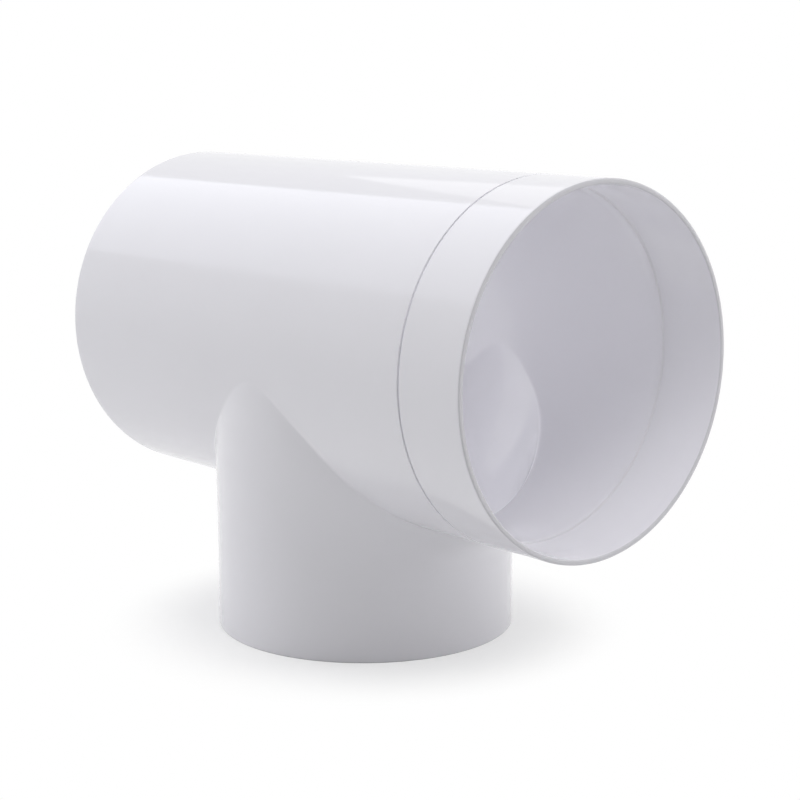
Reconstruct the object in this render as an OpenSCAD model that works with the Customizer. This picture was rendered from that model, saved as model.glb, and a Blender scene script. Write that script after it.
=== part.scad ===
// Round duct tee, moulded in one piece.
// A straight run has a socket at one end and a plain end at the other.
// A smaller branch stands below it. It swells and leans towards the socket
// as it rises into the run, and flares a little where it meets the run's underside.
// Origin: centre of the branch's open end, which the tee stands on.
// +X points out of the socket, +Z up through the branch into the run.

/* [Run] */
// Outside diameter of the run at its plain end, where a duct socket goes over it
run_d = 125; // [112:1:160]
// Wall of the run
run_wall = 2.5; // [2:0.1:4]
// From the branch's axis to the plain end
plain_reach = 98.5; // [85:0.5:180]
// From the branch's axis to the socket's mouth
socket_reach = 116.5; // [110:0.5:200]
// Height of the run's axis above the branch's open end
axis_height = 108; // [100:0.5:180]
// Length of the plain end that is true to size
spigot_length = 43; // [20:0.5:45]
// How much the body's radius grows from the plain end's size to the collar's, as moulding draft
body_draft = 0.15; // [0.05:0.05:0.4]

/* [Socket] */
// Depth of the socket, from its mouth to the shoulder that stops a duct
socket_depth = 25; // [10:0.5:35]
// Wall left round the socket
socket_wall = 1.95; // [1.2:0.05:1.95]
// From the mouth to the parting groove round the outside
groove_setback = 28; // [15:0.5:32]
// Width of the parting groove
groove_width = 0.8; // [0.4:0.1:1.5]
// Depth of the parting groove
groove_depth = 0.5; // [0.2:0.1:0.8]

/* [Branch] */
// Outside diameter of the branch
branch_d = 110; // [90:1:110]
// Wall of the branch and of its neck
branch_wall = 2.5; // [2:0.1:4]
// Straight length of the branch above its open end
branch_straight = 26; // [20:0.5:34]

/* [Neck] */
// How far the neck's side stays inside the run's side
neck_inset = 0.6; // [0.5:0.1:4]
// How far the neck leans towards the socket
neck_lean = 11; // [0:0.5:12]
// Height over which the branch swells into the neck
neck_rise = 60; // [40:0.5:64]
// How far the neck flares out where it meets the run under the socket
heel_reach = 5; // [0:0.5:6]
// Height over which it flares
heel_drop = 12; // [6:0.5:16]

/* [Edges] */
// Rounding of the three rims
rim_round = 0.6; // [0.2:0.1:0.7]

/* [Hidden] */
$fn = 180;
run_r = run_d / 2;
bore_r = run_r - run_wall;
collar_r = run_r + body_draft;
socket_r = collar_r - socket_wall;
branch_r = branch_d / 2;
neck_r = run_r - neck_inset;
// How far each cutter runs past the face that it opens
cut_over = 2;
// The swelling starts this much proud of the straight branch
swell_lap = 0.02;
swell_sides = 96;
swell_steps = 20;
// The larger this is, the narrower the flare under the socket
heel_focus = 8;
rim_facets = 32;

// A round bar that stands on its rounded end
module bar_end(r, length) {
    rotate_extrude() {
        square([r - rim_round, length]);
        translate([0, rim_round]) square([r, length - rim_round]);
        translate([r - rim_round, rim_round]) circle(rim_round, $fn = rim_facets);
    }
}

// Half section of what a bore takes out at its mouth, with the lip rounded.
// The mouth is at height zero and opens upwards.
module mouth_section(r, depth, round) {
    translate([0, -depth]) square([r, depth + cut_over]);
    difference() {
        translate([0, -round]) square([r + round, round + cut_over]);
        translate([r + round, -round]) circle(round, $fn = rim_facets);
    }
}

// Turns a shape that stands on its axis so that it points out of the socket
module along_run() {
    translate([0, 0, axis_height]) rotate([0, 90, 0]) children();
}

// Share of the full swelling at a fraction of its rise, level at both ends
function swell_ease(t) = (1 - cos(180 * t)) / 2;

// Height at which the neck's side meets the run, at an angle round the branch
function meet_height(a) = axis_height - sqrt(pow(run_r, 2) - pow(neck_r * sin(a), 2));

// What the flare adds under the socket, at an angle and a height
function heel(a, height) =
    let (rise = max(0, min(1, 1 + (height - meet_height(a)) / heel_drop)))
    heel_reach * pow(max(0, cos(a)), heel_focus) * pow(rise, 2);

// One ring of the swelling, at a height and a share of the full swelling
function swell_ring(height, share, inset, flare) =
    let (
        centre = neck_lean * share,
        side = branch_r + (neck_r - branch_r) * share - inset + swell_lap,
        r = side / cos(180 / swell_sides)
    )
    [for (i = [0:swell_sides - 1])
        let (a = 360 * i / swell_sides)
        [centre + r * cos(a) + flare * heel(a, height), r * sin(a), height]];

// The swelling of the branch, from its straight part up to the run's axis.
// The inset takes the wall off all round, for the inside of the neck, which has no flare.
module swelling(inset, flare) {
    rings = concat(
        [for (k = [0:swell_steps])
            let (t = k / swell_steps)
            swell_ring(branch_straight + neck_rise * t, swell_ease(t), inset, flare)],
        [swell_ring(axis_height, 1, inset, flare)]
    );
    points = [for (ring = rings) each ring];
    last = len(rings) - 1;
    sides = [for (k = [0:last - 1]) for (i = [0:swell_sides - 1])
        let (j = (i + 1) % swell_sides, low = k * swell_sides, high = low + swell_sides)
        each [[low + i, high + j, low + j], [low + i, high + i, high + j]]];
    foot = [for (i = [0:swell_sides - 1]) i];
    head = [for (i = [swell_sides - 1:-1:0]) last * swell_sides + i];
    polyhedron(points, concat(sides, [foot, head]));
}

// The run's outside, standing on its plain end: the plain end, the drafted body and the collar
module run_outside() {
    body_length = plain_reach + socket_reach - spigot_length - groove_setback;
    bar_end(run_r, spigot_length);
    translate([0, 0, spigot_length]) cylinder(h = body_length, r1 = run_r, r2 = collar_r);
    translate([0, 0, plain_reach + socket_reach]) mirror([0, 0, 1]) bar_end(collar_r, groove_setback);
}

// Everything inside the outer surface, with no hollow yet
module outside() {
    along_run() translate([0, 0, -plain_reach]) run_outside();
    bar_end(branch_r, branch_straight);
    swelling(0, 1);
}

// The hollow of the run, with the socket's wider mouth
module run_hollow() {
    translate([0, 0, -plain_reach]) mirror([0, 0, 1])
        rotate_extrude() mouth_section(bore_r, plain_reach, rim_round);
    cylinder(h = socket_reach - socket_depth, r = bore_r);
    translate([0, 0, socket_reach]) rotate_extrude() mouth_section(socket_r, socket_depth, rim_round);
}

// The hollow of the branch and of its neck
module branch_hollow() {
    mirror([0, 0, 1]) rotate_extrude() mouth_section(branch_r - branch_wall, branch_straight, rim_round);
    swelling(branch_wall, 0);
}

// The fine groove round the run that sets off the socket's collar
module parting_groove() {
    translate([0, 0, socket_reach - groove_setback]) difference() {
        cylinder(h = groove_width, r = collar_r + cut_over);
        translate([0, 0, -cut_over]) cylinder(h = groove_width + 2 * cut_over, r = collar_r - groove_depth);
    }
}

module tee_body() {
    color("#eeeef2") difference() {
        outside();
        along_run() run_hollow();
        branch_hollow();
        along_run() parting_groove();
    }
}

tee_body();
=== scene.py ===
import math
import bpy
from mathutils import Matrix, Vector


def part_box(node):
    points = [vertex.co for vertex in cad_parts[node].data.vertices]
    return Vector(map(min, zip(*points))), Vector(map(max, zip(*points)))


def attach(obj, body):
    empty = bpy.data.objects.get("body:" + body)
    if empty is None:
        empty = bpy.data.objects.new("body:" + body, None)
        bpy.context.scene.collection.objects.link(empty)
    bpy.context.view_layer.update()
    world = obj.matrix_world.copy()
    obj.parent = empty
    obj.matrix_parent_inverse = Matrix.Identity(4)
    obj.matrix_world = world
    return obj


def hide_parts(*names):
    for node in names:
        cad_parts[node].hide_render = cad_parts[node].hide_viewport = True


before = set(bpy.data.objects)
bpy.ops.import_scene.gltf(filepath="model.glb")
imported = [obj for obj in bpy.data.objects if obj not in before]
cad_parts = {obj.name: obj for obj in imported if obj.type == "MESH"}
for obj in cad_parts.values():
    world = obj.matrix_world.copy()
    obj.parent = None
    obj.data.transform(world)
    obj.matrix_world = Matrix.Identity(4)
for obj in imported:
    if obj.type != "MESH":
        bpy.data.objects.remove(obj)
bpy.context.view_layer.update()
mm = 0.001
fullTurn = 2 * math.pi

# The tee, in millimetres. Its reach both ways and its top come from the frame,
# and the rest repeats the solid's own sizes.
low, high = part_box("tee_body")
tee = {
    "plainReach": -low.x / mm,
    "socketReach": high.x / mm,
    "axisHeight": 108,
    "bodyDraft": 0.15,  # what the radius grows by between the plain end and the collar
    "spigotLength": 43,
    "runWall": 2.5,
    "socketWall": 1.95,
    "socketDepth": 25,
    "grooveSetback": 28,
    "grooveWidth": 0.8,
    "grooveDepth": 1.1,  # drawn deeper than the solid's, so that it shows as dark as the real one
    "branchRadius": 55,
    "branchWall": 2.5,
    "branchStraight": 26,
    "neckInset": 0.6,
    "neckLean": 11,
    "neckRise": 60,
    "heelReach": 5,  # the flare under the socket
    "heelDrop": 12,
    "heelFocus": 8,
    "rimRound": 0.6,
    "outerFillet": 1.0,  # along the curve where the branch meets the run
    "innerFillet": 1.2,
    "shoulderLead": 0.5,  # length over which the shoulder in the socket is rounded off
    "grooveLip": 0.1,  # how far the groove's edges are broken
    "grooveTaper": 0.06,  # what each side of the groove leans in by on the way down
}
tee["collarRadius"] = high.z / mm - tee["axisHeight"]
tee["runRadius"] = tee["collarRadius"] - tee["bodyDraft"]

# How finely the tee is drawn
grain = {
    "runSides": 256,
    "branchSides": 224,
    "leftRings": 26,
    "rightRings": 18,
    "neckRings": 30,
    "straightRings": 4,
    "filletSteps": 5,
    "shoulderSteps": 6,
    "rimSteps": 4,
    "crowding": 0.85,  # how much closer the lines along the run lie beside the neck than over the top
    "holding": 1.2,  # distance of the ring that holds a rim's shading, in millimetres
    "grooveHolding": 0.6,  # the same beside the groove
    "weld": 0.004,  # points that lie closer than this become one, in millimetres
    "level": 0.01,  # places that differ by less than this count as the same, in millimetres
    "halvings": 40,  # tries at the height of a point on the crease
    "nudge": 0.01,  # turn to each side for the crease's direction, in radians
    "softBelow": 32,  # edges that turn by less than this many degrees are shaded smooth
}


def clamp(value):
    return min(1, max(0, value))


def mix(a, b, share):
    return a + (b - a) * share


def outerRadius(x):
    start = tee["spigotLength"] - tee["plainReach"]
    end = tee["socketReach"] - tee["grooveSetback"]
    return tee["runRadius"] + tee["bodyDraft"] * clamp((x - start) / (end - start))


# The bore is the same all along; the socket stands off it by its step
def boreRadius(x):
    return tee["runRadius"] - tee["runWall"]


# A point on the run; turn is the angle from its lowest line
def onRun(x, turn, radius):
    return Vector((x, radius * math.sin(turn), tee["axisHeight"] - radius * math.cos(turn)))


# A point on the branch or on its neck; inset is the wall, for the inside, which has no flare
def neckPoint(angle, height, inset):
    share = (1 - math.cos(math.pi * clamp((height - tee["branchStraight"]) / tee["neckRise"]))) / 2
    neckRadius = tee["runRadius"] - tee["neckInset"]
    radius = mix(tee["branchRadius"], neckRadius, share) - inset
    meets = tee["axisHeight"] - math.sqrt(tee["runRadius"] ** 2 - (neckRadius * math.sin(angle)) ** 2)
    flare = clamp(1 + (height - meets) / tee["heelDrop"]) ** 2
    heel = 0 if inset else tee["heelReach"] * max(0, math.cos(angle)) ** tee["heelFocus"] * flare
    x = tee["neckLean"] * share + radius * math.cos(angle) + heel
    return Vector((x, radius * math.sin(angle), height))


# Where the neck comes through the run's skin, found by halving the height
def creasePoint(angle, skin):
    below, above = 0, tee["axisHeight"]
    for _ in range(grain["halvings"]):
        middle = (below + above) / 2
        p = neckPoint(angle, middle, skin["inset"])
        if math.hypot(p.y, p.z - tee["axisHeight"]) > skin["radius"](p.x):
            below = middle
        else:
            above = middle
    return neckPoint(angle, above, skin["inset"])


# The crease, and the fillet's edge on the run as distance along it and turn round it
def filletEdges(angle, skin):
    crease = creasePoint(angle, skin)
    along = creasePoint(angle + grain["nudge"], skin) - creasePoint(angle - grain["nudge"], skin)
    outward = Vector((0, crease.y, crease.z - tee["axisHeight"]))
    edge = crease + outward.cross(along).normalized() * skin["fillet"]
    return crease, edge.x, math.atan2(edge.y, tee["axisHeight"] - edge.z)


# A tube that is drawn up from a circle in steps of a millimetre, to be shaped point by point
def drawUp(name, sides, steps):
    bpy.ops.object.select_all(action="DESELECT")
    bpy.ops.mesh.primitive_circle_add(
        vertices=sides, radius=tee["branchRadius"] * mm, fill_type="NOTHING")
    obj = bpy.context.object
    obj.name = name
    bpy.ops.object.mode_set(mode="EDIT")
    bpy.ops.mesh.select_mode(type="VERT")
    bpy.ops.mesh.select_all(action="SELECT")
    for _ in range(steps):
        bpy.ops.mesh.extrude_region_move(TRANSFORM_OT_translate={"value": (0, 0, mm)})
    bpy.ops.object.mode_set(mode="OBJECT")
    return obj


# Which side and which step of the drawn-up tube a point belongs to
def columnAndStep(co, sides):
    return round(math.atan2(co.y, co.x) / fullTurn * sides) % sides, round(co.z / mm)


# The run's skin, whose lines spread round the hole that the neck fills. The first half of the lines
# end at the hole, from its left and from its right, and the rest pass over the top.
def runTube(skin, edges):
    sides, around = grain["runSides"], grain["branchSides"]
    half, quarter = around // 2, around // 4
    apexTurn, apexX = abs(edges[quarter][2]), edges[quarter][1]
    leftEnds, rightEnds = skin["leftEnds"], skin["rightEnds"]
    hole = len(leftEnds) - 1 + grain["leftRings"]
    last = hole + grain["rightRings"] + len(rightEnds)

    def place(column, step):
        left = step <= hole
        if column <= half:
            _, holeX, holeTurn = edges[(3 * quarter + (-column if left else column)) % around]
        else:
            over = (column - half) / (sides - half)
            spread = over - grain["crowding"] * math.sin(fullTurn * over) / fullTurn
            holeX, holeTurn = apexX, apexTurn + (fullTurn - 2 * apexTurn) * spread
        if left:
            end = leftEnds[min(step, len(leftEnds) - 1)]
            share = clamp((step - len(leftEnds) + 1) / grain["leftRings"])
        else:
            fromEnd = last - step
            end = rightEnds[-1 - min(fromEnd, len(rightEnds) - 1)]
            share = clamp((fromEnd - len(rightEnds) + 1) / grain["rightRings"])
        x = mix(end[0], holeX, share)
        evenTurn = (column - quarter) * fullTurn / sides
        return onRun(x, mix(evenTurn, holeTurn, share), skin["radius"](x) + end[1] * (share == 0))

    tube = drawUp(skin["name"] + "Run", sides, last)
    bpy.ops.object.mode_set(mode="EDIT")
    bpy.ops.mesh.select_mode(type="FACE")
    bpy.ops.mesh.select_all(action="DESELECT")
    bpy.ops.object.mode_set(mode="OBJECT")
    for face in tube.data.polygons:
        column = (math.atan2(face.center.y, face.center.x) / fullTurn * sides) % sides
        face.select = hole < face.center.z / mm < hole + 1 and column < half
    bpy.ops.object.mode_set(mode="EDIT")
    bpy.ops.mesh.delete(type="FACE")
    bpy.ops.object.mode_set(mode="OBJECT")
    for vert in tube.data.vertices:
        vert.co = place(*columnAndStep(vert.co, sides)) * mm
    return tube


# The fillet, the neck and the branch, from the run down to the open end
def branchTube(skin, edges):
    sides, fillet, rings = grain["branchSides"], grain["filletSteps"], grain["neckRings"]
    straight, straightRings = tee["branchStraight"], grain["straightRings"]
    ends = [(mix(straight, grain["holding"], (i + 1) / straightRings), skin["inset"])
            for i in range(straightRings)]
    ends += [(0, inset) for inset in skin["footInsets"]]

    def place(column, step):
        angle = fullTurn * column / sides
        crease, x, turn = edges[column]
        runEdge = onRun(x, turn, skin["radius"](x))
        top = crease.z - skin["fillet"]
        if step <= fillet:
            t = step / fillet
            neckEdge = neckPoint(angle, top, skin["inset"])
            return runEdge * (1 - t) ** 2 + crease * 2 * t * (1 - t) + neckEdge * t ** 2
        if step <= fillet + rings:
            return neckPoint(angle, mix(top, straight, (step - fillet) / rings), skin["inset"])
        return neckPoint(angle, *ends[step - fillet - rings - 1])

    tube = drawUp(skin["name"] + "Branch", sides, fillet + rings + len(ends))
    for vert in tube.data.vertices:
        vert.co = place(*columnAndStep(vert.co, sides)) * mm
    return tube


def joined(parts, name):
    bpy.ops.object.select_all(action="DESELECT")
    for part in parts:
        part.select_set(True)
    bpy.context.view_layer.objects.active = parts[0]
    bpy.ops.object.join()
    parts[0].name = name
    bpy.ops.object.mode_set(mode="EDIT")
    bpy.ops.mesh.select_all(action="SELECT")
    bpy.ops.mesh.remove_doubles(threshold=grain["weld"] * mm)
    bpy.ops.mesh.normals_make_consistent(inside=False)
    bpy.ops.object.mode_set(mode="OBJECT")
    return parts[0]


def sameLevel(a, b):
    return abs(a - b) < grain["level"]


# Selects the rims' sharp edges, round both ends of the run and round the branch's foot
def selectRims(obj):
    bpy.ops.object.mode_set(mode="EDIT")
    bpy.ops.mesh.select_mode(type="EDGE")
    bpy.ops.mesh.select_all(action="DESELECT")
    bpy.ops.object.mode_set(mode="OBJECT")
    verts = obj.data.vertices
    for edge in obj.data.edges:
        a, b = [verts[i].co / mm for i in edge.vertices]
        atRunEnd = sameLevel(a.x, -tee["plainReach"]) or sameLevel(a.x, tee["socketReach"])
        if atRunEnd and sameLevel(a.x, b.x):
            fromAxis = [math.hypot(p.y, p.z - tee["axisHeight"]) for p in (a, b)]
            edge.select = sameLevel(*fromAxis)
        else:
            fromAxis = [math.hypot(p.x, p.y) for p in (a, b)]
            edge.select = sameLevel(a.z, 0) and sameLevel(b.z, 0) and sameLevel(*fromAxis)
    bpy.ops.object.mode_set(mode="EDIT")


def makeTee():
    start, end = -tee["plainReach"], tee["socketReach"]
    hold, beside = grain["holding"], grain["grooveHolding"]
    groove, wide, deep = end - tee["grooveSetback"], tee["grooveWidth"], tee["grooveDepth"]
    lip, taper = tee["grooveLip"], tee["grooveTaper"]
    shoulder, lead = end - tee["socketDepth"], tee["shoulderLead"]
    socketStep = tee["collarRadius"] - tee["socketWall"] - boreRadius(end)

    # Each end is a list of rings: distance along the run, and how far the ring stands off the skin's
    # radius. The outer skin goes on over each rim to the inner one.
    grooveRings = [(groove - beside, 0), (groove - lip, 0), (groove, -lip), (groove + taper, -deep),
                   (groove + wide - taper, -deep), (groove + wide, -lip),
                   (groove + wide + lip, 0), (groove + wide + beside, 0)]
    outer = {
        "name": "outer",
        "radius": outerRadius,
        "inset": 0,
        "fillet": tee["outerFillet"],
        "footInsets": [0, tee["branchWall"]],
        "leftEnds": [(start, -tee["runWall"]), (start, 0), (start + hold, 0)],
        "rightEnds": grooveRings + [(mix(groove, end, 0.5), 0), (end - hold, 0), (end, 0),
                                    (end, -tee["socketWall"])],
    }
    shoulderRings = []
    for i in range(grain["shoulderSteps"] + 1):
        share = i / grain["shoulderSteps"]
        standOff = socketStep * (1 - math.cos(math.pi * share)) / 2
        shoulderRings.append((shoulder - lead * (1 - share), standOff))
    inner = {
        "name": "inner",
        "radius": boreRadius,
        "inset": tee["branchWall"],
        "fillet": tee["innerFillet"],
        "footInsets": [tee["branchWall"]],
        "leftEnds": [(start, 0), (start + hold, 0)],
        "rightEnds": shoulderRings + [(mix(shoulder, end, 0.5), socketStep), (end - hold, socketStep),
                                      (end, socketStep)],
    }

    tubes = []
    around = grain["branchSides"]
    for skin in (outer, inner):
        edges = [filletEdges(fullTurn * i / around, skin) for i in range(around)]
        tubes += [runTube(skin, edges), branchTube(skin, edges)]
    body = joined(tubes, "duct_tee")
    selectRims(body)
    bpy.ops.mesh.bevel(offset=tee["rimRound"] * mm, segments=grain["rimSteps"], profile=0.5,
                       affect="EDGES", clamp_overlap=False)
    bpy.ops.object.mode_set(mode="OBJECT")
    bpy.ops.object.shade_smooth_by_angle(angle=math.radians(grain["softBelow"]))
    return body


# Materials

def linear(hexColour):
    parts = [int(hexColour[i:i + 2], 16) / 255 for i in (1, 3, 5)]
    return [c / 12.92 if c <= 0.04045 else ((c + 0.055) / 1.055) ** 2.4 for c in parts] + [1]


# Settings go to the node's inputs or properties; links are input: (node, output)
def addNode(tree, kind, settings=None, links=None):
    node = tree.nodes.new(kind)
    for key, value in (settings or {}).items():
        if isinstance(key, int) or key in node.inputs:
            node.inputs[key].default_value = value
        else:
            setattr(node, key, value)
    for key, (source, output) in (links or {}).items():
        tree.links.new(source.outputs[output], node.inputs[key])
    return node


def newMaterial(name):
    material = bpy.data.materials.new(name)
    material.use_nodes = True
    material.node_tree.nodes.clear()
    return material, material.node_tree


# White ABS, injection moulded in a polished tool: a hard even gloss, barely wavy where the melt
# shrank, with faint streaks along the run where the core was drawn out. Sizes are in millimetres.
plastic = {
    "colour": "#f0eff4",
    "cloud": "#edecf1",  # faint cool patches in the white
    "ior": 1.5,
    "roughness": (0.05, 0.1),
    "streakRange": (0.35, 0.65),  # the part of the streaks' noise that goes from smoothest to roughest
    "cloudSize": 45,
    "waveSize": 14,
    "waveDepth": 0.012,
    "streakLength": 60,
    "streakWidth": 1.6,
    "grainSize": 0.5,  # the tool's own texture, drawn coarser than it is so that it shows
    "grainDepth": 0.0006,
    "rimPaintedShade": "#d1d0d5",  # painted shade: the edges of the open ends drawn a little greyer than the rest, where the rims and the branch's foot stand in shade
    "paintedShadeDepth": 0.45,
}


def mouldedAbs():
    material, tree = newMaterial("mouldedGlossAbs")
    coords = addNode(tree, "ShaderNodeTexCoord")

    def noise(size, stretch=(1, 1, 1), detail=2):
        scaled = addNode(tree, "ShaderNodeMapping", {"Scale": stretch}, {"Vector": (coords, "Object")})
        return addNode(tree, "ShaderNodeTexNoise", {"Scale": 1 / (size * mm), "Detail": detail},
                       {"Vector": (scaled, "Vector")})

    clouds = noise(plastic["cloudSize"], detail=3)
    waves = noise(plastic["waveSize"], detail=1)
    streaks = noise(plastic["streakWidth"], (plastic["streakWidth"] / plastic["streakLength"], 1, 1))
    grains = noise(plastic["grainSize"])
    clouded = addNode(tree, "ShaderNodeMix", {
        "data_type": "RGBA", 6: linear(plastic["colour"]), 7: linear(plastic["cloud"])},
        {0: (clouds, "Fac")})

    # Painted shade round each open end, the rims and the branch's foot: for each, the axis that it faces
    # along, where it lies, and which way the plastic goes from it
    place = addNode(tree, "ShaderNodeSeparateXYZ", links={0: (coords, "Object")})
    inPaintedShade = None
    for axis, end, inward in (("X", tee["socketReach"], -1), ("X", -tee["plainReach"], 1), ("Z", 0, 1)):
        depth = inward * plastic["paintedShadeDepth"]
        near = addNode(tree, "ShaderNodeMapRange", {
            "From Min": (end + depth) * mm, "From Max": (end + depth / 2) * mm},
            {"Value": (place, axis)})
        if inPaintedShade:
            near = addNode(tree, "ShaderNodeMath", {"operation": "MAXIMUM"}, {0: (inPaintedShade, 0), 1: (near, 0)})
        inPaintedShade = near
    # Painted shade: the base colour turns a greyer white near each open end
    colour = addNode(tree, "ShaderNodeMix", {
        "data_type": "RGBA", 7: linear(plastic["rimPaintedShade"])},
        {0: (inPaintedShade, 0), 6: (clouded, 2)})

    smoothest, roughest = plastic["roughness"]
    streaksFrom, streaksTo = plastic["streakRange"]
    roughness = addNode(tree, "ShaderNodeMapRange", {
        "From Min": streaksFrom, "From Max": streaksTo, "To Min": smoothest, "To Max": roughest},
        {"Value": (streaks, "Fac")})
    wavy = addNode(tree, "ShaderNodeBump", {"Distance": plastic["waveDepth"] * mm},
                   {"Height": (waves, "Fac")})
    grainy = addNode(tree, "ShaderNodeBump", {"Distance": plastic["grainDepth"] * mm},
                     {"Height": (grains, "Fac"), "Normal": (wavy, "Normal")})
    shader = addNode(tree, "ShaderNodeBsdfPrincipled", {"IOR": plastic["ior"]}, {
        "Base Color": (colour, 2), "Roughness": (roughness, "Result"), "Normal": (grainy, "Normal")})
    addNode(tree, "ShaderNodeOutputMaterial", links={"Surface": (shader, "BSDF")})
    return material


print("modelling the tee")
body = makeTee()
body.data.materials.clear()
body.data.materials.append(mouldedAbs())
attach(body, "root")
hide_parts("tee_body")


# Floor, lamps and room

# One for camera, mirror and glass rays, nothing for the light that falls on the tee
def seenDirectly(tree):
    path = addNode(tree, "ShaderNodeLightPath")
    either = addNode(tree, "ShaderNodeMath", {"operation": "MAXIMUM"},
                     {0: (path, "Is Camera Ray"), 1: (path, "Is Glossy Ray")})
    return addNode(tree, "ShaderNodeMath", {"operation": "MAXIMUM"},
                   {0: (either, 0), 1: (path, "Is Transmission Ray")})


# The floor, in metres. The camera sees a white that takes the tee's shadow close by,
# and the tee is lit by what bounces off a plain pale one.
floorSet = {
    "radius": 5,
    "sides": 96,
    "albedo": 0.8,
    "glow": 0.5,  # the white that the camera sees whatever falls on the floor
    "shade": 0.47,  # the share that takes the shadow
    "fadeFrom": 0.055,  # from here to fadeTo the shadow runs out into plain white
    "fadeTo": 0.1,
}


def whiteFloor():
    material, tree = newMaterial("floorWhite")
    coords = addNode(tree, "ShaderNodeTexCoord")
    distance = addNode(tree, "ShaderNodeVectorMath", {"operation": "LENGTH"}, {0: (coords, "Object")})
    fade = addNode(tree, "ShaderNodeMapRange", {
        "interpolation_type": "SMOOTHSTEP",
        "From Min": floorSet["fadeFrom"], "From Max": floorSet["fadeTo"]},
        {"Value": (distance, "Value")})
    glow = addNode(tree, "ShaderNodeEmission", {"Color": (1, 1, 1, 1), "Strength": floorSet["glow"]})
    shade = addNode(tree, "ShaderNodeBsdfDiffuse", {"Color": (*[floorSet["shade"]] * 3, 1)})
    near = addNode(tree, "ShaderNodeAddShader", links={0: (glow, 0), 1: (shade, 0)})
    far = addNode(tree, "ShaderNodeEmission", {"Color": (1, 1, 1, 1), "Strength": 1})
    seen = addNode(tree, "ShaderNodeMixShader", links={0: (fade, 0), 1: (near, 0), 2: (far, 0)})
    bounce = addNode(tree, "ShaderNodeBsdfDiffuse", {"Color": (*[floorSet["albedo"]] * 3, 1)})
    direct = seenDirectly(tree)
    result = addNode(tree, "ShaderNodeMixShader", links={0: (direct, 0), 1: (bounce, 0), 2: (seen, 0)})
    addNode(tree, "ShaderNodeOutputMaterial", links={"Surface": (result, 0)})
    return material


print("laying the floor")
bpy.ops.object.select_all(action="DESELECT")
bpy.ops.mesh.primitive_circle_add(
    vertices=floorSet["sides"], radius=floorSet["radius"], fill_type="NGON", location=(0, 0, 0))
floor = bpy.context.object
floor.name = "floor"
floor.data.materials.append(whiteFloor())

# Each softbox: where its middle is, what it faces, its size in metres and its power in watts.
# The long one's edges lie along the run, so it shows there as a straight bright band.
# "fade" is how much of its light is left at one long edge, and "hidden" keeps it out of reflections.
# The small one lies on the floor inside the branch and stands for the light that a lit table sends up it.
softboxes = {
    "overhead": {"place": (-1.4, -0.325, 0.908), "faces": (-1.4, -0.325, 0), "size": (2.0, 1.25),
                 "watts": 8.4, "fade": 0.58, "colour": "#f2f5ff"},
    "behind": {"place": (-0.596, 0.758, 0.956), "faces": (0.05, 0, 0.12), "size": (0.85, 0.5),
               "watts": 0.55},
    "overTheMouth": {"place": (0.4, 0, 0.95), "faces": (0.12, 0, 0.1), "size": (0.4, 0.5),
                     "watts": 2.8, "hidden": True},
    "front": {"place": (0.673, -0.597, 1.1), "faces": (0, 0, 0.12), "size": (0.9, 0.9),
              "watts": 1.85, "hidden": True},
    "left": {"place": (-1.1, -0.7, 0.2), "faces": (0, 0, 0.09), "size": (0.7, 0.35),
             "watts": 4.5, "hidden": True},
    "right": {"place": (0.68, 1.0, 0.25), "faces": (0, 0, 0.07), "size": (0.7, 0.4),
              "watts": 4.45, "hidden": True},
    "underTheBranch": {"place": (0, 0, 0.003), "faces": (0, 0, 0.1), "size": (0.07, 0.07),
                       "watts": 0.0195, "hidden": True},
}


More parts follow.
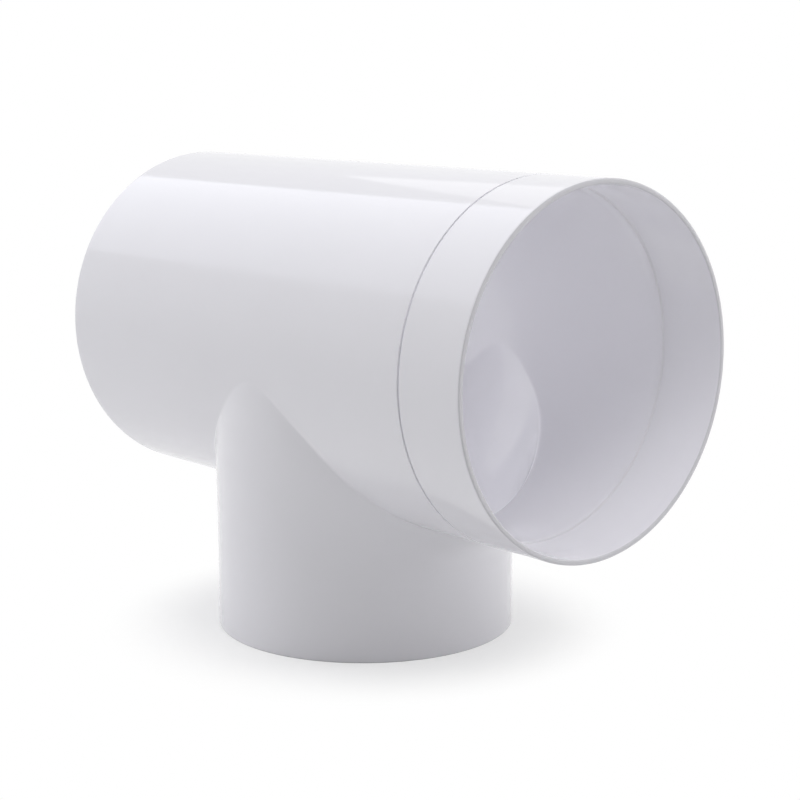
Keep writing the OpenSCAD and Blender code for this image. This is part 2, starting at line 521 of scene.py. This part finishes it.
def addSoftbox(name, box):
    bpy.ops.object.light_add(type="AREA", location=box["place"])
    lamp = bpy.context.object
    lamp.name = name
    lamp.data.shape = "RECTANGLE"
    lamp.data.size, lamp.data.size_y = box["size"]
    lamp.data.energy = box["watts"]
    lamp.data.color = linear(box.get("colour", "#ffffff"))[:3]
    lamp.visible_glossy = not box.get("hidden", False)
    aim = Vector(box["faces"]) - Vector(box["place"])
    straightDown = aim.x == 0 and aim.y == 0 and aim.z < 0
    if not straightDown:  # a new lamp already shines that way
        lamp.rotation_euler = aim.to_track_quat("-Z", "Y").to_euler()
    if "fade" in box:
        lamp.data.use_nodes = True
        tree = lamp.data.node_tree
        face = addNode(tree, "ShaderNodeNewGeometry")
        across = addNode(tree, "ShaderNodeSeparateXYZ", links={0: (face, "Parametric")})
        strength = addNode(tree, "ShaderNodeMapRange", {"To Min": box["fade"], "To Max": 1},
                           {"Value": (across, "Y")})
        tree.links.new(strength.outputs[0], tree.nodes["Emission"].inputs["Strength"])


print("hanging the lamps")
for name, box in softboxes.items():
    addSoftbox(name, box)

# What the room around gives the tee, low down and overhead; the camera and reflections see it as white
room = {
    "low": 0.02,
    "high": 0.465,
    "fadeFrom": 0.1,  # as the height of a direction, from 0 at the horizon to 1 straight up
    "fadeTo": 0.6,
}


def whiteRoom():
    world = bpy.data.worlds.new("whiteRoom")
    world.use_nodes = True
    tree = world.node_tree
    tree.nodes.clear()
    coords = addNode(tree, "ShaderNodeTexCoord")
    direction = addNode(tree, "ShaderNodeSeparateXYZ", links={0: (coords, "Generated")})
    glow = addNode(tree, "ShaderNodeMapRange", {
        "interpolation_type": "SMOOTHSTEP", "From Min": room["fadeFrom"], "From Max": room["fadeTo"],
        "To Min": room["low"], "To Max": room["high"]},
        {"Value": (direction, "Z")})
    direct = seenDirectly(tree)
    strength = addNode(tree, "ShaderNodeMapRange", {"To Max": 1},
                       {"Value": (direct, 0), "To Min": (glow, "Result")})
    white = addNode(tree, "ShaderNodeBackground", {"Color": (1, 1, 1, 1)}, {"Strength": (strength, 0)})
    addNode(tree, "ShaderNodeOutputWorld", links={"Surface": (white, 0)})
    return world


print("painting the room")
bpy.context.scene.world = whiteRoom()

# Camera, from the photograph's outlines: angles in degrees, place in metres, lens in millimetres
camera = {
    "azimuth": 48.44,
    "elevation": 10.62,
    "place": (0.51248, -0.43713, 0.20949),
    "lens": 83.43,
    "sensor": 36,
}
print("placing the camera")
tilt, turn = math.radians(90 - camera["elevation"]), math.radians(camera["azimuth"])
bpy.ops.object.camera_add(location=camera["place"], rotation=(tilt, 0, turn))
cam = bpy.context.object
cam.data.lens = camera["lens"]
cam.data.sensor_width = camera["sensor"]
bpy.context.scene.camera = cam
bpy.context.scene.view_settings.view_transform = "Standard"
